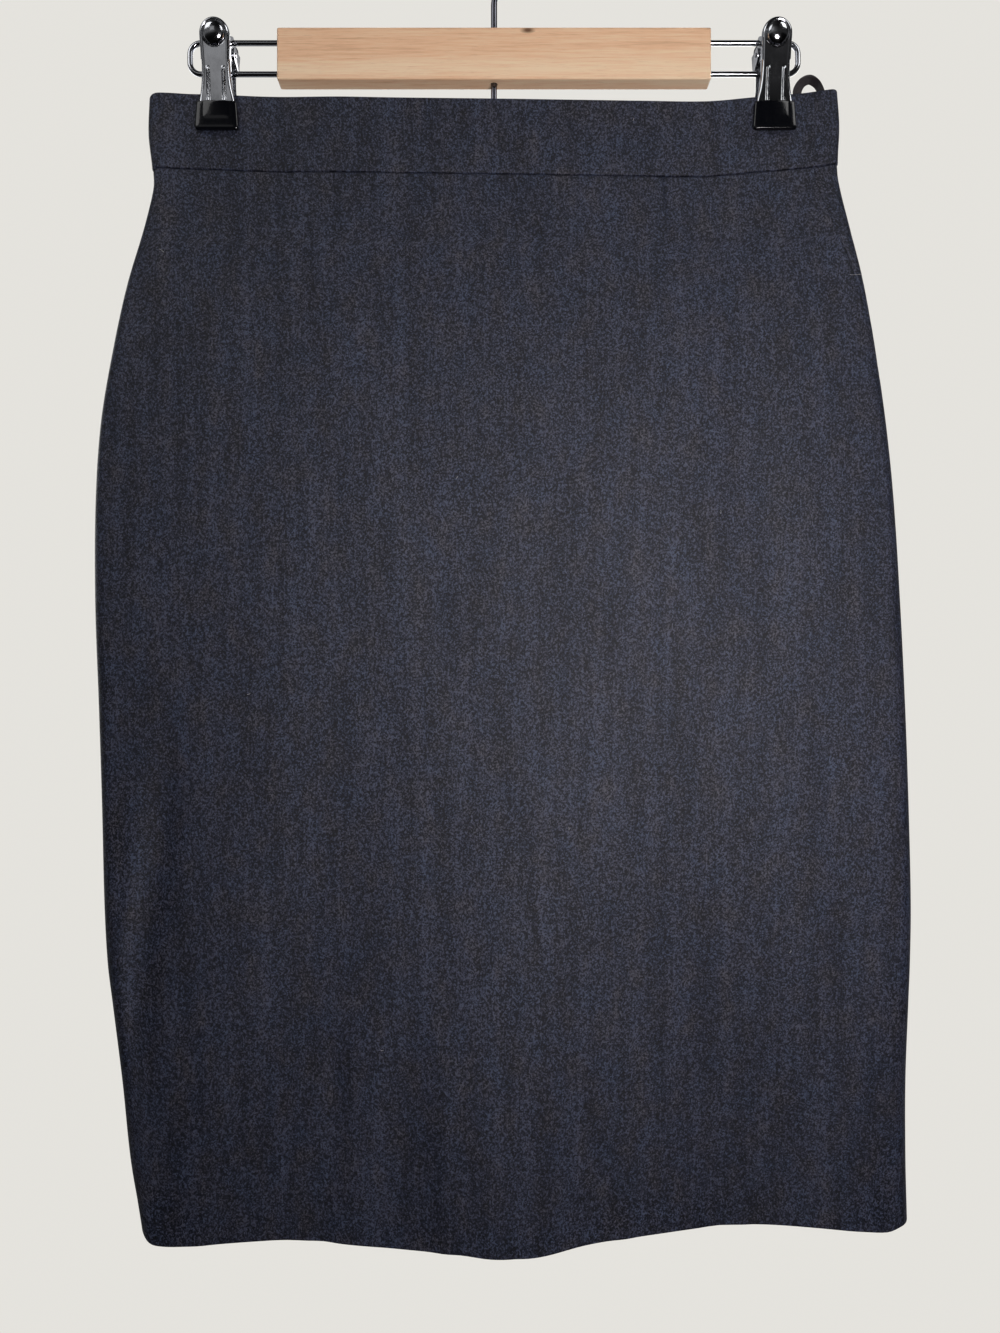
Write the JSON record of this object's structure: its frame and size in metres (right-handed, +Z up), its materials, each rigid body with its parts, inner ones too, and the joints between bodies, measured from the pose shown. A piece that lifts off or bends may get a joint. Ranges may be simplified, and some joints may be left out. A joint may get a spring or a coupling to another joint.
{
  "type": "pencil skirt on a clip hanger",
  "caption": "Dark worsted pencil skirt with a plain waistband, darts, back zip and ribbon loop, hung flat from a wooden clip hanger with a wire hook.",
  "frame": {"origin": "inside top of the hook's crown, where a rail carries the hanger", "axes": "+Z up along the hook's stem, -Y towards the side that faces the viewer (the skirt's front), +X to the viewer's right along the bar"},
  "size_m": [0.4499, 0.0444, 0.7348],
  "materials": {
    "worsted": "charcoal navy melange worsted wool, plain weave, matt",
    "zip_tape": "woven tape",
    "zip_chain": "nylon coil",
    "zip_metal": "enamelled die casting",
    "ribbon": "satin ribbon",
    "wood": "sanded light hardwood, thin lacquer",
    "chrome": "bright plated steel",
    "coating": "dipped black vinyl"
  },
  "bodies": {
    "skirt_on_hanger": {"front_panel": "worsted", "back_panel_left": "worsted", "back_panel_right": "worsted", "waistband_front": "worsted", "waistband_back_left": "worsted", "waistband_back_right": "worsted", "zip_tape_left": "zip_tape", "zip_tape_right": "zip_tape", "zip_chain": "zip_chain", "zip_slider": "zip_metal", "hanging_loop": "ribbon", "bar": "wood", "rod_loop_left": "chrome", "rod_loop_right": "chrome", "hook": "chrome", "clip_left_plate_front": "chrome", "clip_left_plate_back": "chrome", "clip_left_coat_front": "coating", "clip_left_coat_back": "coating", "clip_left_pin": "chrome", "clip_left_spring": "chrome", "clip_right_plate_front": "chrome", "clip_right_plate_back": "chrome", "clip_right_coat_front": "coating", "clip_right_coat_back": "coating", "clip_right_pin": "chrome", "clip_right_spring": "chrome"},
    "zip_tab": {"zip_pull": "zip_metal"}
  },
  "joints": [
    {"name": "zip_tab_swing", "type": "hinge", "parent": "skirt_on_hanger", "child": "zip_tab", "pos_m": [0.006, 0.0105, -0.1141], "axis": [1, 0, 0], "range_deg": [0, 170]}
  ]
}
